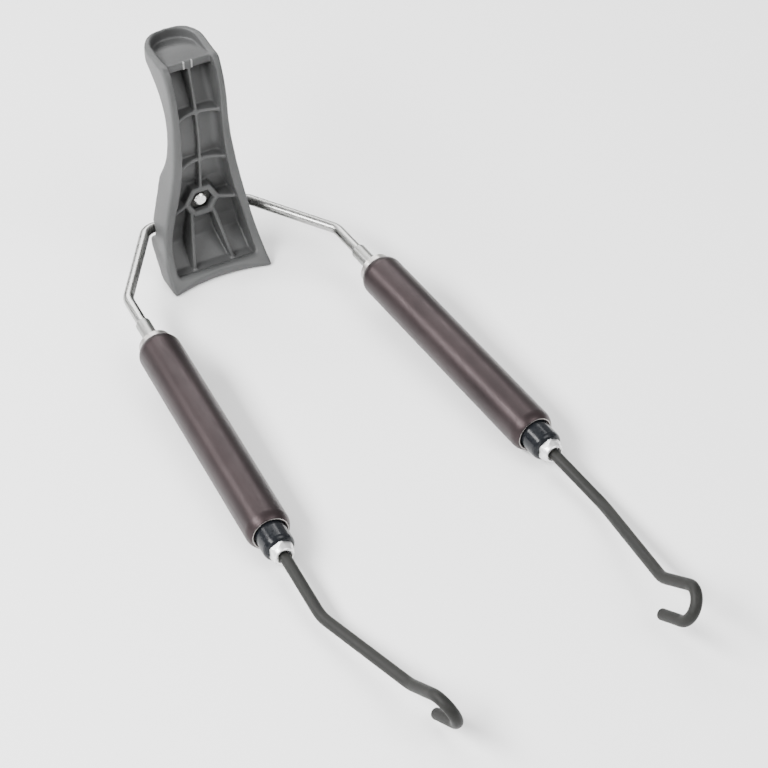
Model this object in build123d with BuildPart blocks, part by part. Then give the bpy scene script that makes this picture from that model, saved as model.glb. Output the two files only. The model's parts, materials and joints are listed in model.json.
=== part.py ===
"""Heel assembly of a free-heel ski binding: heel throw, bent bail, two spring cartridges, two hooked wires.

Frame: +Z up, hooks towards -Y, heel throw towards +Y, millimetres. The piece stands on the foot of the
heel throw and on the front rims of the two cartridges; the origin is under the middle of its footprint.

Two systems are used. "Deck" coordinates lie in the plane of the bail and the cartridge axes: x across,
y towards the throw, z out of that plane, with y = 0 between the rear ends of the cartridges. "Station" is
the distance along one cartridge's axis from its rear end, positive towards the hook.
"""
from build123d import *
from math import cos, radians, sin, tan
import os

# Stand of the whole piece
DECK_TILT = 3.21           # slope of the deck, down towards the hooks, degrees
DECK_BACK = 63.94          # deck origin ahead of the frame's origin
DECK_HEIGHT = 13.374       # deck origin above the surface the piece stands on

# Bail
WIRE_R = 2.0
PIVOT_Y = 66.6             # cross rod of the bail, which the throw turns on
PIVOT_Z = 0.0
BAIL_SHOULDER_X = 20.5     # outer ends of the cross rod
BAIL_KNEE_Y = 33.2         # where each leg turns into line with its cartridge
SHOULDER_BEND_R = 6.0
KNEE_BEND_R = 8.0

# Cartridges
AXIS_X = 45.0              # half the spacing of the axes at their rear ends
AXIS_SPLAY = 3.445         # each axis leans outwards towards the hooks, degrees
TUBE_R = 8.0
TUBE_WALL = 1.0
TUBE_REAR = -3.6
TUBE_FRONT = 99.2
SHOULDER_LENGTH = 3.4      # rolled ends of the tube
REAR_MOUTH_R = 6.2
FRONT_MOUTH_R = 6.0
LIP_R = 6.75               # outer edge of the rolled lip

# Threaded end of the bail and the cap that screws along it
FERRULE_R = 2.8
FERRULE_REAR = -18.4
FERRULE_FRONT = 12.0
CAP_REAR = -6.6
CAP_NOSE_R = 6.1
CAP_CONE_REAR = -2.4
CAP_CONE_FRONT = 0.8
FERRULE_STOP = 8.0         # blind end of the ferrule's bore, where the bail's wire ends
CAP_FRONT = 8.0
THREAD_CLEARANCE = 0.05

# Spring train inside a cartridge
WIRE_REAR = 24.5
STOP_NUT_REAR = 26.0
SEAT_REAR = 29.2
SEAT_FRONT = 34.0
SEAT_R = 6.7
SPIGOT_R = 4.3
SPRING_WIRE_R = 0.9
SPRING_MEAN_R = 5.5
SPRING_TURNS = 13
WASHER_REAR = 86.4
WASHER_FRONT = 87.6
BUSH_FLANGE_FRONT = 95.4
BUSH_R = 5.65
BUSH_FRONT = 107.6
BUSH_ROUND = 1.9
GUIDE_FRONT = 111.0
GUIDE_STEM_REAR = 94.0
GUIDE_STEM_R = 3.5
GUIDE_FLATS = 7.9
GUIDE_BASE_R = 4.35
GUIDE_NOSE_R = 3.6
GUIDE_MOUTH_R = 2.75
GUIDE_MOUTH_DEPTH = 3.0
RUNNING_CLEARANCE = 0.05
SLIDING_CLEARANCE = 0.3

# Hooked wires: straight, first bend, straight, second bend, straight, U-shaped hook, straight tip
FIRST_RUN = 29.6
FIRST_BEND = 16.6
FIRST_BEND_R = 22.0
SECOND_RUN = 46.2
SECOND_BEND = 23.4
SECOND_BEND_R = 11.0
BEND_TWIST = 107.4         # angle between the planes of the two bends
THIRD_RUN = 15.7
HOOK_R = 5.9
HOOK_TURN = 182.0
TIP_RUN = 11.6
LEFT_ROLL = -35.5          # how each wire lies turned in its cartridge
RIGHT_ROLL = -46.7

# Heel throw
FOOT_Z = -15.8             # underside of the foot
RIB = 1.5
UPRIGHT_RIB = 1.25
RIB_ROOT_Y = 65.2          # ribs reach this far into the pocket's floor
SIDE_RIB_INNER_X = 6.0     # the two short ribs beside the nut boss
SIDE_RIB_OUTER_X = 13.4
SIDE_RIB_WALL_Y = 55.9
NUT_Z = 11.0
BOSS_Y = 59.5
BOSS_CORNER_R = 7.5
NUT_FLATS = 8.0
NUT_HEIGHT = 3.0
SCREW_R = 2.5
SCREW_HOLE_R = 2.65
NUT_POCKET_CLEARANCE = 0.2
CHANNEL_R = WIRE_R + RUNNING_CLEARANCE
BLOCK_BACK_Y = 66.6
NOTCH_R = 3.1
NOTCH_X = 15.5
LIP_ROUND_R = 56.0         # plan radius of the concave foot lip
FOOT_LIP_Y = 45.6
FOOT_LIP_Z = -11.6         # top of the lip, a step above the floor of the pocket
LIP_CUT_LOW = -20.0        # the round cut reaches between these two levels
LIP_CUT_HIGH = -6.0
BODY_HALF = 30.0           # half-width of the blanks that the throw is cut from
FRONT_LIMIT = 30.0         # where those blanks start, ahead of the throw's face
BLANK_DEPTH = 60.0
BLANK_TOP = 90.0
BLANK_BOTTOM = -30.0
NUT_SEAT_Y = 64.4
KEEPER_THICKNESS = 4.2
KEEPER_HALF = 12.5
KEEPER_HEIGHT = 25.0
KEEPER_CENTRE_Z = 7.5
PEG_X = 9.0
PEG_Z = 16.5
PEG_R = 1.5
PEG_HOLE_CLEARANCE = 0.05
PEG_HOLE_DEPTH = 2.2
PEG_LENGTH = 2.0
WASHER_R = 5.0
WASHER_THICKNESS = 1.0
SCREW_HEAD_R = 4.5
SCREW_HEAD_HEIGHT = 2.6
KEY_FLATS = 3.0
KEY_DEPTH = 1.7
SCREW_TIP_Y = 60.2

os.makedirs("parts", exist_ok=True)

deck = Plane(
    origin=(0, DECK_BACK, DECK_HEIGHT),
    x_dir=(1, 0, 0),
    z_dir=(0, -sin(radians(DECK_TILT)), cos(radians(DECK_TILT))),
)


def place(x, y, z):
    """A deck point in the frame of the whole piece."""
    return deck.from_local_coords(Vector(x, y, z))


def heading(x, y, z):
    """A deck direction in the frame of the whole piece."""
    return (place(x, y, z) - place(0, 0, 0)).normalized()


def side_plane(x=0):
    """Sketch plane seen from +X: local x is deck y, local y is deck z."""
    return Plane(origin=place(x, 0, 0), x_dir=heading(0, 1, 0), z_dir=heading(1, 0, 0))


def front_plane(y):
    """Sketch plane seen from the hooks: local x is deck x, local y is deck z."""
    return Plane(origin=place(0, y, 0), x_dir=heading(1, 0, 0), z_dir=heading(0, -1, 0))


def level_plane(z):
    """Sketch plane parallel to the deck."""
    return Plane(origin=place(0, 0, z), x_dir=heading(1, 0, 0), z_dir=heading(0, 0, 1))


def axis_heading(side):
    return heading(side * sin(radians(AXIS_SPLAY)), -cos(radians(AXIS_SPLAY)), 0)


def on_axis(side, station):
    """Point of a cartridge's axis, side -1 for the left one and 1 for the right one."""
    return place(side * AXIS_X, 0, 0) + axis_heading(side) * station


def section_plane(side):
    """Half-section of a cartridge: local x is the station, local y the radius."""
    return Plane(origin=on_axis(side, 0), x_dir=axis_heading(side), z_dir=heading(0, 0, 1))


def cross_plane(side, station):
    """Plane across a cartridge's axis, facing the hook."""
    return Plane(origin=on_axis(side, station), x_dir=heading(0, 0, 1), z_dir=axis_heading(side))


def turned(side, outline):
    """Solid of revolution about a cartridge's axis, from (station, radius) corners of its half-section."""
    with BuildPart() as blank:
        with BuildSketch(section_plane(side)):
            with BuildLine():
                Polyline(*outline, close=True)
            make_face()
        revolve(axis=Axis(tuple(on_axis(side, 0)), tuple(axis_heading(side))))
    return blank


def finish(builder, name):
    builder.part.label = name
    export_step(builder.part, f"parts/{name}.step")


# ---------------------------------------------------------------- heel throw
# Profiles of the throw, seen from the side as (y, z)
FRONT_CURVE = [
    (42.8, -14.4),
    (49.4, -8.4),
    (53.6, 0),
    (54.7, 10),
    (54.8, 30),
    (56.0, 48),
    (57.4, 61),
    (61.4, 70.4),
]
BACK_CURVE = [
    (85.7, 71.0),
    (83.8, 67.8),
    (79.0, 65.0),
    (73.4, 61.0),
    (68.4, 55.8),
    (65.2, 49),
    (63.9, 39),
    (64.4, 28.5),
]
INNER_CURVE = [(74.4, 68.4), (68.0, 59.4), (63.2, 50), (61.7, 39), (62.2, 27), (63.6, 19)]
FOOT_HOLLOW = [(63.6, -1), (62.4, -6.4), (54.0, -13.0), (49.6, -13.2), (48.4, FOOT_LIP_Z)]
RIB_CURVE = [(64.4, 68.6), (60.3, 52), (58.8, 40), (59.3, 28), (BOSS_Y, 14)]
RIB_BACK = [
    (RIB_ROOT_Y, 14),
    (RIB_ROOT_Y, 25),
    (63.4, 30),
    (62.7, 39),
    (64.2, 50),
    (69.0, 59.4),
    (75.0, 68.6),
]

# Widths of the throw and its pocket, seen from the front as (half-width, z)
OUTER_WIDTH = [(20.4, -17.5), (18.5, 0), (14.7, 20), (12.0, 38), (11.3, 54), (11.7, 77)]
INNER_WIDTH = [(16.0, -14), (15.0, 0), (10.8, 20), (8.5, 38), (8.4, 54), (8.8, 68.4)]

# Each upper cross rib: z, then y at the walls, in the middle and at its root
CROSS_RIBS = [(51.5, 56.6, 60.2, 65.2), (30.8, 55.2, 59.4, 63.4)]
CROSS_RIB_HALF = 9.6
CROSS_RIB_CORNER = 2.5

# Cup for a pole tip: a D-shaped hollow in the top, shallow in front and deep at the back
RIM_FRONT = (66.0, 72.1)
RIM_BACK = (83.6, 73.7)
CROWN_HALF = 11.7
CROWN_START_Y = 74.0       # where the sides start to close in behind the cup
CROWN_BACK_Y = 85.7
CROWN_CORNER_R = 10.5
CUP_HALF = 8.6
CUP_BACK_Y = 84.0
CUP_CORNER_R = 7.6
CUP_FLOOR = [(64.6, 71.9), (74.0, 69.8), (84.5, 68.9)]
LEDGE_Y = 64.6
LEDGE_Z = 68.4


def deck_spot(shape):
    """Centre of an edge or face in deck coordinates."""
    return deck.to_local_coords(shape.center())


def edges_between(shape, y_range, z_range, x_least=0.0):
    """Edges whose centres lie in a deck box, at least x_least from the middle plane."""
    chosen = ShapeList()
    for edge in shape.edges():
        spot = deck_spot(edge)
        in_box = y_range[0] < spot.Y < y_range[1] and z_range[0] < spot.Z < z_range[1]
        if in_box and abs(spot.X) >= x_least:
            chosen.append(edge)
    return chosen


with BuildPart() as pocket:
    with BuildSketch(side_plane(-BODY_HALF)):
        with BuildLine():
            Spline(*INNER_CURVE)
            Polyline(
                INNER_CURVE[-1],
                *FOOT_HOLLOW,
                (FRONT_LIMIT, FOOT_LIP_Z),
                (FRONT_LIMIT, LEDGE_Z),
                INNER_CURVE[0],
            )
        make_face()
    extrude(amount=2 * BODY_HALF)
    with BuildSketch(front_plane(FRONT_LIMIT)):
        with BuildLine():
            right_wall = Spline(*INNER_WIDTH)
            left_wall = Spline(*[(-x, z) for x, z in INNER_WIDTH])
            Line(right_wall @ 1, left_wall @ 1)
            Line(right_wall @ 0, left_wall @ 0)
        make_face()
    extrude(amount=-BLANK_DEPTH, mode=Mode.INTERSECT)
    fillet(edges_between(pocket, (60, 80), (12, 67), 5), 2.5)

# The two ribs that spread from the nut boss to the foot
with BuildPart() as foot_ribs:
    with BuildSketch(front_plane(FRONT_LIMIT)):
        for side in (-1, 1):
            with BuildLine():
                Polyline(
                    (side * 3.6, 6.5),
                    (side * (3.6 + RIB), 6.5),
                    (side * (7.3 + RIB), -14.0),
                    (side * 7.3, -14.0),
                    close=True,
                )
            make_face()
    extrude(amount=-BLANK_DEPTH)
    with BuildSketch(side_plane(-BODY_HALF)):
        with BuildLine():
            Polyline(
                (BOSS_Y, 7),
                (52.2, -10.0),
                (50.4, -13.8),
                (55.0, -13.8),
                (RIB_ROOT_Y, -4),
                (RIB_ROOT_Y, 7),
                close=True,
            )
        make_face()
    extrude(amount=2 * BODY_HALF, mode=Mode.INTERSECT)

with BuildPart() as cup:
    with BuildSketch(level_plane(0)):
        with BuildLine():
            FilletPolyline(
                (-CUP_HALF, FRONT_LIMIT),
                (-CUP_HALF, CUP_BACK_Y),
                (CUP_HALF, CUP_BACK_Y),
                (CUP_HALF, FRONT_LIMIT),
                radius=CUP_CORNER_R,
            )
            Line((CUP_HALF, FRONT_LIMIT), (-CUP_HALF, FRONT_LIMIT))
        make_face()
    extrude(amount=BLANK_TOP)
    with BuildSketch(side_plane(-BODY_HALF)):
        with BuildLine():
            Spline(*CUP_FLOOR)
            Polyline(
                CUP_FLOOR[-1],
                (BLANK_TOP, CUP_FLOOR[-1][1]),
                (BLANK_TOP, BLANK_TOP),
                (FRONT_LIMIT, BLANK_TOP),
                (FRONT_LIMIT, LEDGE_Z),
                (LEDGE_Y, LEDGE_Z),
                CUP_FLOOR[0],
            )
        make_face()
    extrude(amount=2 * BODY_HALF, mode=Mode.INTERSECT)

with BuildPart() as heel_throw:
    with BuildSketch(side_plane(-BODY_HALF)):
        with BuildLine():
            face_line = Spline(*FRONT_CURVE)
            TangentArc(face_line @ 1, RIM_FRONT, tangent=face_line % 1)
            Line(RIM_FRONT, RIM_BACK)
            TangentArc(RIM_BACK, BACK_CURVE[0], tangent=Vector(RIM_BACK) - Vector(RIM_FRONT))
            back_line = Spline(*BACK_CURVE)
            FilletPolyline(
                back_line @ 1,
                (BLOCK_BACK_Y, 23.5),
                (BLOCK_BACK_Y, -5.5),
                (54.0, FOOT_Z),
                (41.6, FOOT_Z),
                FRONT_CURVE[0],
                radius=(2.0, 5.0, 3.0, 0.6),
            )
        make_face()
    extrude(amount=2 * BODY_HALF)
    with BuildSketch(front_plane(FRONT_LIMIT)):
        with BuildLine():
            right_edge = Spline(*OUTER_WIDTH)
            left_edge = Spline(*[(-x, z) for x, z in OUTER_WIDTH])
            Line(right_edge @ 1, left_edge @ 1)
            Line(right_edge @ 0, left_edge @ 0)
        make_face()
    extrude(amount=-BLANK_DEPTH, mode=Mode.INTERSECT)
    with BuildSketch(level_plane(BLANK_BOTTOM)):
        with BuildLine():
            FilletPolyline(
                (-CROWN_HALF, CROWN_START_Y),
                (-CROWN_HALF, CROWN_BACK_Y),
                (CROWN_HALF, CROWN_BACK_Y),
                (CROWN_HALF, CROWN_START_Y),
                radius=CROWN_CORNER_R,
            )
            Polyline(
                (CROWN_HALF, CROWN_START_Y),
                (BODY_HALF, CROWN_START_Y),
                (BODY_HALF, FRONT_LIMIT),
                (-BODY_HALF, FRONT_LIMIT),
                (-BODY_HALF, CROWN_START_Y),
                (-CROWN_HALF, CROWN_START_Y),
            )
        make_face()
    extrude(amount=BLANK_TOP - BLANK_BOTTOM, mode=Mode.INTERSECT)
    fillet(edges_between(heel_throw, (64, 90), (28, 72), 1.0), 3.0)

    # Concave foot lip, which follows the round heel of a boot
    with BuildSketch(level_plane(LIP_CUT_LOW)):
        with Locations((0, FOOT_LIP_Y - LIP_ROUND_R)):
            Circle(LIP_ROUND_R)
    extrude(amount=LIP_CUT_HIGH - LIP_CUT_LOW, mode=Mode.SUBTRACT)

    # Ribbed pocket
    add(pocket.part, mode=Mode.SUBTRACT)
    add(foot_ribs.part)
    with BuildSketch(side_plane(-UPRIGHT_RIB / 2)):
        with BuildLine():
            Spline(*RIB_CURVE)
            Polyline(RIB_CURVE[-1], *RIB_BACK, RIB_CURVE[0])
        make_face()
    extrude(amount=UPRIGHT_RIB)
    for rib_z, wall_y, middle_y, back_y in CROSS_RIBS:
        with BuildSketch(level_plane(rib_z - RIB / 2)):
            with BuildLine():
                ThreePointArc((-CROSS_RIB_HALF, wall_y), (0, middle_y), (CROSS_RIB_HALF, wall_y))
                Polyline(
                    (CROSS_RIB_HALF, wall_y),
                    (CROSS_RIB_HALF, back_y - CROSS_RIB_CORNER),
                    (CROSS_RIB_HALF - CROSS_RIB_CORNER, back_y),
                    (CROSS_RIB_CORNER - CROSS_RIB_HALF, back_y),
                    (-CROSS_RIB_HALF, back_y - CROSS_RIB_CORNER),
                    (-CROSS_RIB_HALF, wall_y),
                )
            make_face()
        extrude(amount=RIB)
    with BuildSketch(level_plane(NUT_Z - RIB / 2)):
        for side in (-1, 1):
            with BuildLine():
                Polyline(
                    (side * SIDE_RIB_INNER_X, BOSS_Y),
                    (side * SIDE_RIB_OUTER_X, SIDE_RIB_WALL_Y),
                    (side * SIDE_RIB_OUTER_X, RIB_ROOT_Y),
                    (side * SIDE_RIB_INNER_X, RIB_ROOT_Y),
                    close=True,
                )
            make_face()
    extrude(amount=RIB)

    # Nut boss, its hexagonal pocket and the screw hole
    with BuildSketch(front_plane(BOSS_Y)):
        with Locations((0, NUT_Z)):
            RegularPolygon(radius=BOSS_CORNER_R, side_count=6)
    extrude(amount=BOSS_Y - RIB_ROOT_Y)
    with BuildSketch(front_plane(BOSS_Y)):
        with Locations((0, NUT_Z)):
            RegularPolygon(radius=NUT_FLATS / 2 + NUT_POCKET_CLEARANCE, side_count=6, major_radius=False)
    extrude(amount=BOSS_Y - NUT_SEAT_Y, mode=Mode.SUBTRACT)
    with BuildSketch(front_plane(BOSS_Y)):
        with Locations((0, NUT_Z)):
            Circle(SCREW_HOLE_R)
    extrude(amount=-BLANK_DEPTH, mode=Mode.SUBTRACT)

    # Cup in the top
    add(cup.part, mode=Mode.SUBTRACT)

    # Half-round channel for the cross rod, opened out at both sides for the bail's shoulders
    with BuildSketch(side_plane(-BODY_HALF)):
        with Locations((PIVOT_Y, PIVOT_Z)):
            Circle(CHANNEL_R)
    extrude(amount=2 * BODY_HALF, mode=Mode.SUBTRACT)
    for start in (-BODY_HALF, NOTCH_X):
        with BuildSketch(side_plane(start)):
            with Locations((PIVOT_Y, PIVOT_Z)):
                Circle(NOTCH_R)
        extrude(amount=BODY_HALF - NOTCH_X, mode=Mode.SUBTRACT)

    # Holes for the keeper's locating pegs
    with BuildSketch(front_plane(BLOCK_BACK_Y)):
        with Locations((-PEG_X, PEG_Z), (PEG_X, PEG_Z)):
            Circle(PEG_R + PEG_HOLE_CLEARANCE)
    extrude(amount=PEG_HOLE_DEPTH, mode=Mode.SUBTRACT)
finish(heel_throw, "heel_throw")

# ---------------------------------------------------------------- keeper and its fastening
with BuildPart() as keeper_plate:
    with BuildSketch(front_plane(BLOCK_BACK_Y)):
        with Locations((0, KEEPER_CENTRE_Z)):
            RectangleRounded(2 * KEEPER_HALF, KEEPER_HEIGHT, 3)
    extrude(amount=-KEEPER_THICKNESS)
    chamfer(keeper_plate.faces().sort_by(Axis((0, 0, 0), tuple(heading(0, 1, 0))))[-1].edges(), 0.8)
    with BuildSketch(side_plane(-BODY_HALF)):
        with Locations((PIVOT_Y, PIVOT_Z)):
            Circle(CHANNEL_R)
    extrude(amount=2 * BODY_HALF, mode=Mode.SUBTRACT)
    with BuildSketch(front_plane(BLOCK_BACK_Y)):
        with Locations((0, NUT_Z)):
            Circle(SCREW_HOLE_R)
    extrude(amount=-KEEPER_THICKNESS, mode=Mode.SUBTRACT)
    with BuildSketch(front_plane(BLOCK_BACK_Y)):
        with Locations((-PEG_X, PEG_Z), (PEG_X, PEG_Z)):
            Circle(PEG_R)
    extrude(amount=PEG_LENGTH)
finish(keeper_plate, "keeper_plate")

keeper_back = BLOCK_BACK_Y + KEEPER_THICKNESS
with BuildPart() as keeper_washer:
    with BuildSketch(front_plane(keeper_back)):
        with Locations((0, NUT_Z)):
            Circle(WASHER_R)
            Circle(SCREW_HOLE_R, mode=Mode.SUBTRACT)
    extrude(amount=-WASHER_THICKNESS)
finish(keeper_washer, "keeper_washer")

head_seat = keeper_back + WASHER_THICKNESS
with BuildPart() as keeper_screw:
    with BuildSketch(front_plane(SCREW_TIP_Y)):
        with Locations((0, NUT_Z)):
            Circle(SCREW_R)
    extrude(amount=-(head_seat - SCREW_TIP_Y))
    with BuildSketch(front_plane(head_seat)):
        with Locations((0, NUT_Z)):
            Circle(SCREW_HEAD_R)
    extrude(amount=-SCREW_HEAD_HEIGHT)
    end_rings = keeper_screw.edges().filter_by(GeomType.CIRCLE)
    chamfer(end_rings.sort_by(Axis((0, 0, 0), tuple(heading(0, 1, 0))))[0], 0.6)
    fillet(end_rings.sort_by(Axis((0, 0, 0), tuple(heading(0, 1, 0))))[-1], 1.2)
    with BuildSketch(front_plane(head_seat + SCREW_HEAD_HEIGHT)):
        with Locations((0, NUT_Z)):
            RegularPolygon(radius=KEY_FLATS / 2, side_count=6, major_radius=False)
    extrude(amount=KEY_DEPTH, mode=Mode.SUBTRACT)
finish(keeper_screw, "keeper_screw")

with BuildPart() as lock_nut:
    with BuildSketch(front_plane(NUT_SEAT_Y - NUT_HEIGHT)):
        with Locations((0, NUT_Z)):
            RegularPolygon(radius=NUT_FLATS / 2, side_count=6, major_radius=False)
            Circle(SCREW_R, mode=Mode.SUBTRACT)
    extrude(amount=-NUT_HEIGHT)
finish(lock_nut, "lock_nut")

# ---------------------------------------------------------------- bail
bail_half = [
    (AXIS_X + FERRULE_STOP * sin(radians(AXIS_SPLAY)), -FERRULE_STOP * cos(radians(AXIS_SPLAY))),
    (AXIS_X - BAIL_KNEE_Y * tan(radians(AXIS_SPLAY)), BAIL_KNEE_Y),
    (BAIL_SHOULDER_X, PIVOT_Y),
]
bail_points = [(-x, y) for x, y in bail_half] + list(reversed(bail_half))
with BuildPart() as bail_wire:
    with BuildLine(level_plane(0)):
        FilletPolyline(*bail_points, radius=(KNEE_BEND_R, SHOULDER_BEND_R, SHOULDER_BEND_R, KNEE_BEND_R))
    with BuildSketch(cross_plane(-1, FERRULE_STOP)):
        Circle(WIRE_R)
    sweep()
finish(bail_wire, "bail_wire")


def bend(start, along, towards, radius, degrees):
    """One arc of bent wire: its middle and end points, and the two directions after it."""
    middle = radians(degrees / 2)
    whole = radians(degrees)
    mid_point = start + (along * sin(middle) + towards * (1 - cos(middle))) * radius
    end_point = start + (along * sin(whole) + towards * (1 - cos(whole))) * radius
    new_along = along * cos(whole) + towards * sin(whole)
    new_towards = towards * cos(whole) - along * sin(whole)
    return mid_point, end_point, new_along, new_towards


def hook_route(side, roll):
    """Corner and arc points of one hooked wire, from inside its cartridge to its tip."""
    along = axis_heading(side)
    outward = heading(side * cos(radians(AXIS_SPLAY)), sin(radians(AXIS_SPLAY)), 0)
    upward = heading(0, 0, 1)
    inward = -(outward * cos(radians(roll)) + upward * sin(radians(roll)))
    first_trim = FIRST_BEND_R * tan(radians(FIRST_BEND / 2))
    second_trim = SECOND_BEND_R * tan(radians(SECOND_BEND / 2))
    start = on_axis(side, WIRE_REAR)
    first = on_axis(side, GUIDE_FRONT + FIRST_RUN - first_trim)
    first_mid, first_end, along, inward = bend(first, along, inward, FIRST_BEND_R, FIRST_BEND)
    twist = radians(180 + side * BEND_TWIST)
    lift = inward * cos(twist) + along.cross(inward) * sin(twist)
    second = first_end + along * (SECOND_RUN - first_trim - second_trim)
    second_mid, second_end, along, lift = bend(second, along, lift, SECOND_BEND_R, SECOND_BEND)
    hook = second_end + along * (THIRD_RUN - second_trim)
    hook_mid, hook_end, along, lift = bend(hook, along, -lift, HOOK_R, HOOK_TURN)
    tip = hook_end + along * TIP_RUN
    lines = [(start, first), (first_end, second), (second_end, hook), (hook_end, tip)]
    arcs = [(first, first_mid, first_end), (second, second_mid, second_end), (hook, hook_mid, hook_end)]
    return lines, arcs


# ---------------------------------------------------------------- the two cartridges and their wires
for name, side, roll in (("left", -1, LEFT_ROLL), ("right", 1, RIGHT_ROLL)):
    axis = Axis(tuple(on_axis(side, 0)), tuple(axis_heading(side)))

    thread_ferrule = turned(side, [
        (FERRULE_REAR, WIRE_R),
        (FERRULE_REAR, FERRULE_R - 0.4),
        (FERRULE_REAR + 0.5, FERRULE_R),
        (FERRULE_FRONT - 0.5, FERRULE_R),
        (FERRULE_FRONT, FERRULE_R - 0.5),
        (FERRULE_FRONT, 0),
        (FERRULE_STOP, 0),
        (FERRULE_STOP, WIRE_R),
    ])
    finish(thread_ferrule, f"{name}_thread_ferrule")

    rear_cap = turned(side, [
        (CAP_REAR, FERRULE_R + THREAD_CLEARANCE),
        (CAP_REAR, CAP_NOSE_R - 0.4),
        (CAP_REAR + 0.4, CAP_NOSE_R),
        (CAP_CONE_REAR, CAP_NOSE_R),
        (CAP_CONE_FRONT, TUBE_R - TUBE_WALL - RUNNING_CLEARANCE),
        (CAP_FRONT, TUBE_R - TUBE_WALL - RUNNING_CLEARANCE),
        (CAP_FRONT, FERRULE_R + THREAD_CLEARANCE),
    ])
    finish(rear_cap, f"{name}_rear_cap")

    with BuildPart() as cartridge_tube:
        with BuildSketch(section_plane(side)):
            with BuildLine():
                straight_rear = TUBE_REAR + SHOULDER_LENGTH
                straight_front = TUBE_FRONT - SHOULDER_LENGTH
                TangentArc((straight_rear, TUBE_R), (TUBE_REAR, LIP_R), tangent=(-1, 0))
                Polyline(
                    (TUBE_REAR, LIP_R),
                    (TUBE_REAR, REAR_MOUTH_R),
                    (TUBE_REAR + 1.0, REAR_MOUTH_R),
                    (straight_rear + 0.4, TUBE_R - TUBE_WALL),
                    (straight_front - 0.4, TUBE_R - TUBE_WALL),
                    (TUBE_FRONT - 1.0, FRONT_MOUTH_R),
                    (TUBE_FRONT, FRONT_MOUTH_R),
                    (TUBE_FRONT, LIP_R),
                )
                TangentArc((straight_front, TUBE_R), (TUBE_FRONT, LIP_R), tangent=(1, 0))
                Line((straight_rear, TUBE_R), (straight_front, TUBE_R))
            make_face()
        revolve(axis=axis)
    finish(cartridge_tube, f"{name}_cartridge_tube")

    spring_start = SEAT_FRONT + SPRING_WIRE_R
    spring_length = WASHER_REAR - SEAT_FRONT - 2 * SPRING_WIRE_R
    with BuildPart() as compression_spring:
        with BuildLine():
            coil = Helix(
                pitch=spring_length / SPRING_TURNS,
                height=spring_length,
                radius=SPRING_MEAN_R,
                center=on_axis(side, spring_start),
                direction=axis_heading(side),
            )
        with BuildSketch(Plane(origin=coil @ 0, z_dir=coil % 0)):
            Circle(SPRING_WIRE_R)
        sweep()
    finish(compression_spring, f"{name}_compression_spring")

    spring_seat = turned(side, [
        (SEAT_REAR, WIRE_R + RUNNING_CLEARANCE),
        (SEAT_REAR, SEAT_R),
        (SEAT_FRONT, SEAT_R),
        (SEAT_FRONT, SPIGOT_R),
        (SEAT_FRONT + 4, SPIGOT_R - 0.3),
        (SEAT_FRONT + 4, WIRE_R + RUNNING_CLEARANCE),
    ])
    finish(spring_seat, f"{name}_spring_seat")

    with BuildPart() as stop_nut:
        with BuildSketch(cross_plane(side, STOP_NUT_REAR)):
            RegularPolygon(radius=3.5, side_count=6, major_radius=False)
            Circle(WIRE_R, mode=Mode.SUBTRACT)
        extrude(amount=SEAT_REAR - STOP_NUT_REAR)
    finish(stop_nut, f"{name}_stop_nut")

    with BuildPart() as thrust_washer:
        with BuildSketch(cross_plane(side, WASHER_REAR)):
            Circle(TUBE_R - TUBE_WALL)
            Circle(WIRE_R + SLIDING_CLEARANCE, mode=Mode.SUBTRACT)
        extrude(amount=WASHER_FRONT - WASHER_REAR)
    finish(thrust_washer, f"{name}_thrust_washer")

    bush_nose = []
    for degrees in (0, 22.5, 45, 67.5, 90):
        nose_station = BUSH_FRONT - BUSH_ROUND * (1 - sin(radians(degrees)))
        nose_radius = BUSH_R - BUSH_ROUND * (1 - cos(radians(degrees)))
        bush_nose.append((nose_station, nose_radius))
    front_bush = turned(side, [
        (WASHER_FRONT, WIRE_R + SLIDING_CLEARANCE),
        (WASHER_FRONT, TUBE_R - TUBE_WALL),
        (BUSH_FLANGE_FRONT, TUBE_R - TUBE_WALL),
        (BUSH_FLANGE_FRONT + 1.0, BUSH_R),
        *bush_nose,
        (BUSH_FRONT, GUIDE_STEM_R),
        (GUIDE_STEM_REAR, GUIDE_STEM_R),
        (GUIDE_STEM_REAR, WIRE_R + SLIDING_CLEARANCE),
    ])
    finish(front_bush, f"{name}_front_bush")

    guide_outside = turned(side, [
        (BUSH_FRONT - 1, 0),
        (BUSH_FRONT - 1, GUIDE_BASE_R),
        (BUSH_FRONT + 0.8, GUIDE_BASE_R),
        (GUIDE_FRONT - 0.3, GUIDE_NOSE_R),
        (GUIDE_FRONT, GUIDE_NOSE_R - 0.3),
        (GUIDE_FRONT, 0),
    ])
    guide_bore = turned(side, [
        (GUIDE_STEM_REAR, 0),
        (GUIDE_STEM_REAR, WIRE_R + RUNNING_CLEARANCE),
        (GUIDE_FRONT - GUIDE_MOUTH_DEPTH, WIRE_R + RUNNING_CLEARANCE),
        (GUIDE_FRONT - GUIDE_MOUTH_DEPTH, GUIDE_MOUTH_R),
        (GUIDE_FRONT, GUIDE_MOUTH_R),
        (GUIDE_FRONT, 0),
    ])
    with BuildPart() as hex_guide:
        with BuildSketch(cross_plane(side, BUSH_FRONT)):
            RegularPolygon(radius=GUIDE_FLATS / 2, side_count=6, major_radius=False)
        extrude(amount=GUIDE_FRONT - BUSH_FRONT)
        add(guide_outside.part, mode=Mode.INTERSECT)
        with BuildSketch(cross_plane(side, GUIDE_STEM_REAR)):
            Circle(GUIDE_STEM_R)
        extrude(amount=BUSH_FRONT - GUIDE_STEM_REAR)
        add(guide_bore.part, mode=Mode.SUBTRACT)
    finish(hex_guide, f"{name}_hex_guide")

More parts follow.
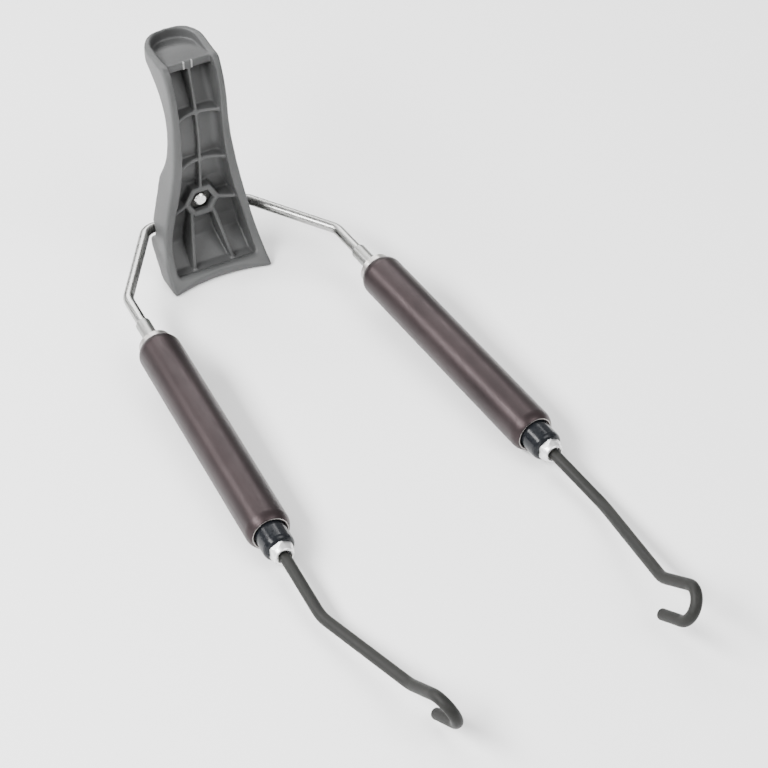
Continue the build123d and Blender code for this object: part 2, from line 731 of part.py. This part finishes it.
    lines, arcs = hook_route(side, roll)
    with BuildPart() as hooked_wire:
        with BuildLine():
            for first, last in lines:
                Line(first, last)
            for first, middle, last in arcs:
                ThreePointArc(first, middle, last)
        with BuildSketch(cross_plane(side, WIRE_REAR)):
            Circle(WIRE_R)
        sweep()
        tip_face = hooked_wire.faces().sort_by_distance(lines[-1][1])[0]
        chamfer(tip_face.edges(), 0.5)
    finish(hooked_wire, f"{name}_hooked_wire")
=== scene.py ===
"""Looks of the heel assembly of a free-heel ski binding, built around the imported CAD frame.

Lengths are in metres. The CAD nodes keep their shapes and get procedural materials. The heel throw is
replaced by a copy of its own CAD mesh with moulded, rounded edges.
"""
import json
import math
import random

import bmesh
import bpy
from mathutils import Matrix, Vector


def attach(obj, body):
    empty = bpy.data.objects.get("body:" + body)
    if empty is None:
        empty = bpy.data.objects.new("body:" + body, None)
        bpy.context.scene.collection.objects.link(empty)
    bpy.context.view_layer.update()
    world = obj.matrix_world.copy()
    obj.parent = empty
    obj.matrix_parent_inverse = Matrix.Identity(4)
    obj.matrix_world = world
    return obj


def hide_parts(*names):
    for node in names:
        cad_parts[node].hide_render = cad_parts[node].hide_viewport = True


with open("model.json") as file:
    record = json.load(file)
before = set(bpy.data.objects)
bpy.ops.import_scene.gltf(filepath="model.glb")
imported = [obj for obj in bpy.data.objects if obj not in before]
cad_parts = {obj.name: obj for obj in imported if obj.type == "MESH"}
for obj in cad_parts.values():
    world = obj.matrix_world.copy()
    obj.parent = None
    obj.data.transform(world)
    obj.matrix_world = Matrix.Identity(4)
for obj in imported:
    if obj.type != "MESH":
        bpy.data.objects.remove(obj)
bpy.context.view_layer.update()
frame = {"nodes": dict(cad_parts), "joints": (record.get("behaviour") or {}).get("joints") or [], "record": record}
nodes = frame["nodes"]
joints = {joint["name"]: joint for joint in frame["joints"]}

MM = 0.001
SIDES = ("left", "right")

# Camera: where it looks, from which side, and how long its lens is
CAMERA_TARGET = Vector((0.0270, 0.03145, -0.0070))
CAMERA_AZIMUTH = -27.03
CAMERA_ELEVATION = 39.31
CAMERA_ROLL = 1.97
CAMERA_DISTANCE = 0.9989
CAMERA_LENS = 129.36
SENSOR_WIDTH = 36.0

# Plane of the bail and cartridges: y runs from the throw's pivot towards its back, z out of the plane
DECK_TILT = math.radians(3.21)
PIVOT = Vector(joints["throw_pivot"]["pos_m"])

# Throw
MOULD_VOXEL = 0.36 * MM
RIB_PASSES = 6             # smoothing inside the ribbed pocket
RIM_PASSES = 60            # more smoothing on everything outside it
SMOOTHING = 0.5
POCKET_TOP = 72 * MM       # heights above the pivot: the ribbed pocket ends here
POCKET_WAIST = 38 * MM     # and starts to widen here, going down
POCKET_HALF = 8.6          # its half-width above the waist, in millimetres, and how it grows below
POCKET_SLOPE = 0.11
POCKET_CURVE = 0.0009
FOOT_TOP = -9 * MM         # everything below and ahead of these counts as the foot's lip
FOOT_BACK = -16.5 * MM
FADE_START = 0.3 * MM      # the extra smoothing fades in outside the pocket
FADE_LENGTH = 1.5 * MM
MARK_SIZE = (0.55 * MM, 1.0 * MM, 3.2 * MM)
MARK_BEVEL = 0.12 * MM
MARK_PLACES = ((-2.1 * MM, -1.85 * MM, 70.2 * MM), (1.1 * MM, -1.85 * MM, 70.2 * MM))

# Cartridges, along each axis from its rear end
LIP_STATION = 99.2 * MM
LIP_RADIUS = 6.42 * MM
LIP_THICKNESS = 0.24 * MM
LIP_SEGMENTS = 160
LIP_CORNERS = 10
LIP_UNEVENNESS = 0.05 * MM
LIP_SEED = 3

# Floor
FLOOR_SIZE = 40.0


# ---------------------------------------------------------------- materials
def node_material(name):
    """An empty node material: the material, its node tree, its main shader and object coordinates."""
    material = bpy.data.materials.new(name)
    material.use_nodes = True
    tree = material.node_tree
    shader = tree.nodes["Principled BSDF"]
    coords = tree.nodes.new("ShaderNodeTexCoord")
    return material, tree, shader, coords.outputs["Object"]


def scaled(tree, source, scale):
    mapping = tree.nodes.new("ShaderNodeMapping")
    mapping.inputs["Scale"].default_value = scale
    tree.links.new(source, mapping.inputs["Vector"])
    return mapping.outputs["Vector"]


def noise(tree, source, scale, detail=4.0, roughness=0.5):
    """Fractal noise over object coordinates stretched by a scale in each direction, per metre."""
    texture = tree.nodes.new("ShaderNodeTexNoise")
    texture.inputs["Scale"].default_value = 1.0
    texture.inputs["Detail"].default_value = detail
    texture.inputs["Roughness"].default_value = roughness
    tree.links.new(scaled(tree, source, scale), texture.inputs["Vector"])
    return texture.outputs["Fac"]


def ramp(tree, source, stops):
    """Colour ramp with (position, colour) stops; a single number stands for a grey."""
    node = tree.nodes.new("ShaderNodeValToRGB")
    elements = node.color_ramp.elements
    while len(elements) < len(stops):
        elements.new(0.5)
    for element, (position, colour) in zip(elements, stops):
        element.position = position
        element.color = (*colour, 1.0) if isinstance(colour, tuple) else (colour, colour, colour, 1.0)
    tree.links.new(source, node.inputs["Fac"])
    return node.outputs["Color"]


def spread(tree, source, low, high):
    """Maps the useful middle of a noise to a range."""
    node = tree.nodes.new("ShaderNodeMapRange")
    node.inputs["From Min"].default_value = 0.3
    node.inputs["From Max"].default_value = 0.7
    node.inputs["To Min"].default_value = low
    node.inputs["To Max"].default_value = high
    tree.links.new(source, node.inputs["Value"])
    return node.outputs["Result"]


def bump(tree, shader, source, height):
    node = tree.nodes.new("ShaderNodeBump")
    node.inputs["Distance"].default_value = height
    node.inputs["Strength"].default_value = 1.0
    tree.links.new(source, node.inputs["Height"])
    tree.links.new(node.outputs["Normal"], shader.inputs["Normal"])


def moulded_plastic(name, dark, light):
    """Moulded plastic with a fine satin grain and faint flow clouds."""
    material, tree, shader, place = node_material(name)
    clouds = noise(tree, place, (60, 60, 40), 3.0)
    colour = ramp(tree, clouds, [(0.3, dark), (0.7, light)])
    tree.links.new(colour, shader.inputs["Base Color"])
    grain = noise(tree, place, (3500, 3500, 3500), 3.0, 0.6)
    tree.links.new(spread(tree, grain, 0.42, 0.56), shader.inputs["Roughness"])
    bump(tree, shader, grain, 0.012 * MM)
    shader.inputs["Specular IOR Level"].default_value = 0.42
    return material


def anodised_tube():
    """Bronze-brown satin anodised aluminium, with fine drawing lines along the tube."""
    material, tree, shader, place = node_material("bronze_anodised_tube")
    lines = noise(tree, place, (2600, 12, 2600), 3.0, 0.6)
    clouds = noise(tree, place, (90, 45, 90), 4.0)
    colour = ramp(tree, clouds, [(0.3, (0.026, 0.019, 0.020)), (0.7, (0.038, 0.028, 0.029))])
    tree.links.new(colour, shader.inputs["Base Color"])
    tree.links.new(spread(tree, lines, 0.34, 0.46), shader.inputs["Roughness"])
    bump(tree, shader, lines, 0.006 * MM)
    shader.inputs["Metallic"].default_value = 0.75
    shader.inputs["Specular IOR Level"].default_value = 0.35
    return material


def polished_wire():
    """Polished stainless wire, with faint lines from drawing and bending."""
    material, tree, shader, place = node_material("polished_stainless")
    lines = noise(tree, place, (1500, 60, 1500), 4.0)
    colour = ramp(tree, lines, [(0.3, (0.32, 0.32, 0.31)), (0.7, (0.40, 0.40, 0.39))])
    tree.links.new(colour, shader.inputs["Base Color"])
    tree.links.new(spread(tree, lines, 0.24, 0.34), shader.inputs["Roughness"])
    bump(tree, shader, lines, 0.004 * MM)
    shader.inputs["Metallic"].default_value = 1.0
    return material


def plated_steel(name, dark, light, rough_low, rough_high, grain_size):
    """Plated or turned metal with a fine grain."""
    material, tree, shader, place = node_material(name)
    grain = noise(tree, place, (grain_size, grain_size, grain_size), 4.0, 0.6)
    colour = ramp(tree, grain, [(0.3, dark), (0.7, light)])
    tree.links.new(colour, shader.inputs["Base Color"])
    tree.links.new(spread(tree, grain, rough_low, rough_high), shader.inputs["Roughness"])
    bump(tree, shader, grain, 0.01 * MM)
    shader.inputs["Metallic"].default_value = 1.0
    return material


def glossy_bush():
    """Glossy black plastic with a faint orange peel."""
    material, tree, shader, place = node_material("glossy_black_plastic")
    peel = noise(tree, place, (900, 900, 900), 2.0)
    colour = ramp(tree, peel, [(0.3, (0.005, 0.006, 0.008)), (0.7, (0.009, 0.010, 0.012))])
    tree.links.new(colour, shader.inputs["Base Color"])
    tree.links.new(spread(tree, peel, 0.16, 0.26), shader.inputs["Roughness"])
    bump(tree, shader, peel, 0.002 * MM)
    shader.inputs["Specular IOR Level"].default_value = 0.20
    return material


def black_wire():
    """Black coated wire: satin, very slightly rough, with drawing lines along it."""
    material, tree, shader, place = node_material("black_coated_wire")
    lines = noise(tree, place, (1800, 90, 1800), 4.0, 0.6)
    colour = ramp(tree, lines, [(0.3, (0.006, 0.006, 0.005)), (0.7, (0.012, 0.012, 0.011))])
    tree.links.new(colour, shader.inputs["Base Color"])
    tree.links.new(spread(tree, lines, 0.48, 0.62), shader.inputs["Roughness"])
    bump(tree, shader, lines, 0.012 * MM)
    shader.inputs["Specular IOR Level"].default_value = 0.24
    return material


FINISHES = {
    "throw_plastic": moulded_plastic(
        "moulded_grey_plastic", (0.046, 0.047, 0.047), (0.062, 0.063, 0.063)
    ),
    "tube_anodised": anodised_tube(),
    "stainless_wire": polished_wire(),
    "ferrule_steel": plated_steel(
        "satin_ferrule", (0.24, 0.24, 0.23), (0.36, 0.36, 0.35), 0.30, 0.44, 2500
    ),
    "cap_aluminium": plated_steel(
        "turned_cap", (0.38, 0.36, 0.35), (0.50, 0.48, 0.46), 0.30, 0.42, 1800
    ),
    "fastener_steel": plated_steel(
        "zinc_fasteners", (0.62, 0.62, 0.60), (0.75, 0.75, 0.73), 0.22, 0.36, 1500
    ),
    "spring_steel": plated_steel(
        "spring_steel", (0.10, 0.10, 0.11), (0.16, 0.16, 0.17), 0.30, 0.45, 1500
    ),
    # Near-black nut: the real black of its nylon insert, plus painted shade of the deep pocket laid over the whole
    # nut.
    "dark_nut": plated_steel(
        "dark_nut_painted_shade", (0.020, 0.020, 0.019), (0.035, 0.035, 0.033), 0.35, 0.5, 1500
    ),
    "guide_zinc": plated_steel(
        "bright_zinc", (0.80, 0.80, 0.79), (0.90, 0.90, 0.89), 0.34, 0.48, 1200
    ),
    "bush_plastic": glossy_bush(),
    "black_wire": black_wire(),
}

slot_of = {part["node"]: part["material_slot"] for part in frame["record"]["subparts"]}
for name, piece in nodes.items():
    if not piece.material_slots:
        piece.data.materials.append(None)
    for material_slot in piece.material_slots:
        material_slot.material = FINISHES[slot_of[name]]


# ---------------------------------------------------------------- heel throw
def deck_place(x, y, z):
    """A point given in the tilted plane of the bail, from the throw's pivot."""
    return PIVOT + Matrix.Rotation(DECK_TILT, 3, "X") @ Vector((x, y, z))


def deck_reading(point):
    """The same coordinates, read back from a point of the whole piece."""
    return Matrix.Rotation(-DECK_TILT, 3, "X") @ (point - PIVOT)


def mesh_piece(name, mesh):
    """A new object in the scene from a finished bmesh, which is freed."""
    shape = bpy.data.meshes.new(name)
    mesh.to_mesh(shape)
    mesh.free()
    piece = bpy.data.objects.new(name, shape)
    bpy.context.scene.collection.objects.link(piece)
    return piece


def box_piece(mesh, centre, size):
    """Adds a small block to a mesh that is being built, square to the tilted plane."""
    made = bmesh.ops.create_cube(mesh, size=1.0)
    turned = Matrix.Translation(centre) @ Matrix.Rotation(DECK_TILT, 4, "X")
    place = turned @ Matrix.Diagonal((*size, 1.0))
    bmesh.ops.transform(mesh, matrix=place, verts=made["verts"])


def ledge_marks():
    """The two thin pale marks that stand on the front of the ledge, above the upright rib."""
    mesh = bmesh.new()
    for spot in MARK_PLACES:
        box_piece(mesh, deck_place(*spot), MARK_SIZE)
    bmesh.ops.bevel(
        mesh, geom=mesh.edges[:], offset=MARK_BEVEL, segments=2, affect="EDGES", clamp_overlap=True
    )
    piece = mesh_piece("ledge_marks", mesh)
    # The marks get a plastic several times paler than the rest of the throw.
    pale_mark_finish = moulded_plastic("pale_mark_plastic", (0.26, 0.26, 0.26), (0.34, 0.34, 0.34))
    piece.data.materials.append(pale_mark_finish)
    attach(piece, "throw")


def pocket_half_width(height):
    """Half-width of the throw's ribbed pocket at a height above the pivot."""
    if height > POCKET_TOP:
        return 0.0
    below = max(0.0, (POCKET_WAIST - height) / MM)
    return (POCKET_HALF + POCKET_SLOPE * below + POCKET_CURVE * below * below) * MM


def evaluated(piece):
    """Swaps a piece's mesh for the result of its modifiers."""
    bpy.context.view_layer.update()
    graph = bpy.context.evaluated_depsgraph_get()
    shape = bpy.data.meshes.new_from_object(piece.evaluated_get(graph))
    piece.modifiers.clear()
    piece.data = shape


def smooth(piece, name, passes):
    """Adds a smoothing modifier."""
    modifier = piece.modifiers.new(name, "SMOOTH")
    modifier.factor = SMOOTHING
    modifier.iterations = passes
    return modifier


def moulded_throw():
    """The throw's CAD mesh rebuilt as one even skin, with edges as round as a mould makes them."""
    mesh = bmesh.new()
    mesh.from_mesh(nodes["heel_throw"].data)
    piece = mesh_piece("throw_moulded", mesh)
    skin = piece.modifiers.new("skin", "REMESH")
    skin.mode = "VOXEL"
    skin.voxel_size = MOULD_VOXEL
    skin.use_smooth_shade = True
    evaluated(piece)
    outside = piece.vertex_groups.new(name="outside")
    for vertex in piece.data.vertices:
        spot = deck_reading(vertex.co)
        beyond = abs(spot.x) - pocket_half_width(spot.z)
        if spot.z < FOOT_TOP and spot.y < FOOT_BACK:
            beyond = FADE_LENGTH
        if beyond > FADE_START:
            outside.add([vertex.index], min(1.0, beyond / FADE_LENGTH), "REPLACE")
    smooth(piece, "soft", RIB_PASSES)
    smooth(piece, "rim", RIM_PASSES).vertex_group = outside.name
    evaluated(piece)
    piece.vertex_groups.clear()
    piece.data.materials.clear()
    piece.data.materials.append(FINISHES["throw_plastic"])
    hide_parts("heel_throw")
    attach(piece, "throw")


# ---------------------------------------------------------------- cartridges
def axis_frame(side, station):
    """Matrix whose z runs along a cartridge's axis, towards the hook, at a station from its rear end."""
    turn = joints[f"{side}_cartridge_turn"]
    along = Vector(turn["axis"]).normalized()
    place = Matrix.Translation(Vector(turn["pos_m"]) + along * station)
    return place @ along.to_track_quat("Z", "Y").to_matrix().to_4x4()


def uneven_ring(name, outline, place):
    """A closed ring turned from a (radius, station) outline, with an uneven surface."""
    draw = random.Random(LIP_SEED)
    mesh = bmesh.new()
    rings = []
    for step in range(LIP_SEGMENTS):
        angle = 2 * math.pi * step / LIP_SEGMENTS
        wobble = draw.uniform(-LIP_UNEVENNESS, LIP_UNEVENNESS)
        ring = []
        for radius, station in outline:
            reach = radius + wobble + draw.uniform(-LIP_UNEVENNESS, LIP_UNEVENNESS) / 2
            spot = Vector((reach * math.cos(angle), reach * math.sin(angle), station))
            ring.append(mesh.verts.new(place @ spot))
        rings.append(ring)
    for step in range(LIP_SEGMENTS):
        first, second = rings[step], rings[(step + 1) % LIP_SEGMENTS]
        for corner in range(len(outline)):
            following = (corner + 1) % len(outline)
            mesh.faces.new((first[corner], first[following], second[following], second[corner]))
    bmesh.ops.recalc_face_normals(mesh, faces=mesh.faces)
    piece = mesh_piece(name, mesh)
    for face in piece.data.polygons:
        face.use_smooth = True
    return piece


def cut_lip(side):
    """The bright, slightly uneven edge left where the tube's front end was rolled in and cut."""
    outline = []
    for step in range(LIP_CORNERS):
        angle = 2 * math.pi * step / LIP_CORNERS
        radius = LIP_RADIUS + 1.3 * LIP_THICKNESS * math.cos(angle)
        outline.append((radius, LIP_THICKNESS * (math.sin(angle) - 0.8)))
    ring = uneven_ring(f"{side}_cut_lip", outline, axis_frame(side, LIP_STATION))
    ring.data.materials.append(FINISHES["cap_aluminium"])
    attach(ring, f"{side}_cartridge")


moulded_throw()
ledge_marks()
for side in SIDES:
    cut_lip(side)


# ---------------------------------------------------------------- floor, lights and camera
def studio_floor():
    """Plain pale floor at the height that the piece stands on."""
    bpy.ops.mesh.primitive_plane_add(size=FLOOR_SIZE, location=(0, 0, 0))
    floor = bpy.context.object
    floor.name = "studio_floor"
    material, _, shader, _ = node_material("studio_floor")
    shader.inputs["Base Color"].default_value = (0.95, 0.95, 0.95, 1.0)
    shader.inputs["Roughness"].default_value = 0.9
    floor.data.materials.append(material)


def area_light(name, place, aim, size, power):
    """A soft rectangular light pointing at a spot."""
    light = bpy.data.lights.new(name, "AREA")
    light.shape = "RECTANGLE"
    light.size = size[0]
    light.size_y = size[1]
    light.energy = power
    lamp = bpy.data.objects.new(name, light)
    lamp.location = place
    lamp.rotation_euler = (Vector(aim) - Vector(place)).to_track_quat("-Z", "Y").to_euler()
    bpy.context.scene.collection.objects.link(lamp)


def studio_world():
    """Even pale grey all round, slightly darker a little above the horizon."""
    world = bpy.data.worlds.new("studio")
    bpy.context.scene.world = world
    world.use_nodes = True
    tree = world.node_tree
    coords = tree.nodes.new("ShaderNodeTexCoord")
    split = tree.nodes.new("ShaderNodeSeparateXYZ")
    tree.links.new(coords.outputs["Generated"], split.inputs["Vector"])
    shade = ramp(tree, split.outputs["Z"], [(0.0, 0.62), (0.25, 0.50), (1.0, 0.66)])
    background = tree.nodes["Background"]
    tree.links.new(shade, background.inputs["Color"])
    background.inputs["Strength"].default_value = 1.25


def studio_camera():
    """Long-lens camera that looks down on the piece from the hooks' left."""
    azimuth = math.radians(CAMERA_AZIMUTH)
    elevation = math.radians(CAMERA_ELEVATION)
    back = Vector((
        math.sin(azimuth) * math.cos(elevation),
        -math.cos(azimuth) * math.cos(elevation),
        math.sin(elevation),
    ))
    data = bpy.data.cameras.new("camera")
    data.lens = CAMERA_LENS
    data.sensor_width = SENSOR_WIDTH
    data.clip_end = 50.0
    camera = bpy.data.objects.new("camera", data)
    camera.location = CAMERA_TARGET + back * CAMERA_DISTANCE
    turn = back.to_track_quat("Z", "Y")
    camera.rotation_euler = turn.to_euler()
    camera.rotation_euler.rotate_axis("Z", math.radians(-CAMERA_ROLL))
    bpy.context.scene.collection.objects.link(camera)
    bpy.context.scene.camera = camera


studio_floor()
studio_world()
area_light("key", (-0.85, 0.05, 0.80), (0, 0, 0.02), (1.6, 0.30), 44.0)
area_light("fill", (0.5, -1.0, 1.1), (0, 0, 0.03), (0.9, 0.9), 17.0)
area_light("rear", (0.2, 1.1, 1.0), (0, 0, 0.03), (1.2, 0.4), 16.0)
studio_camera()
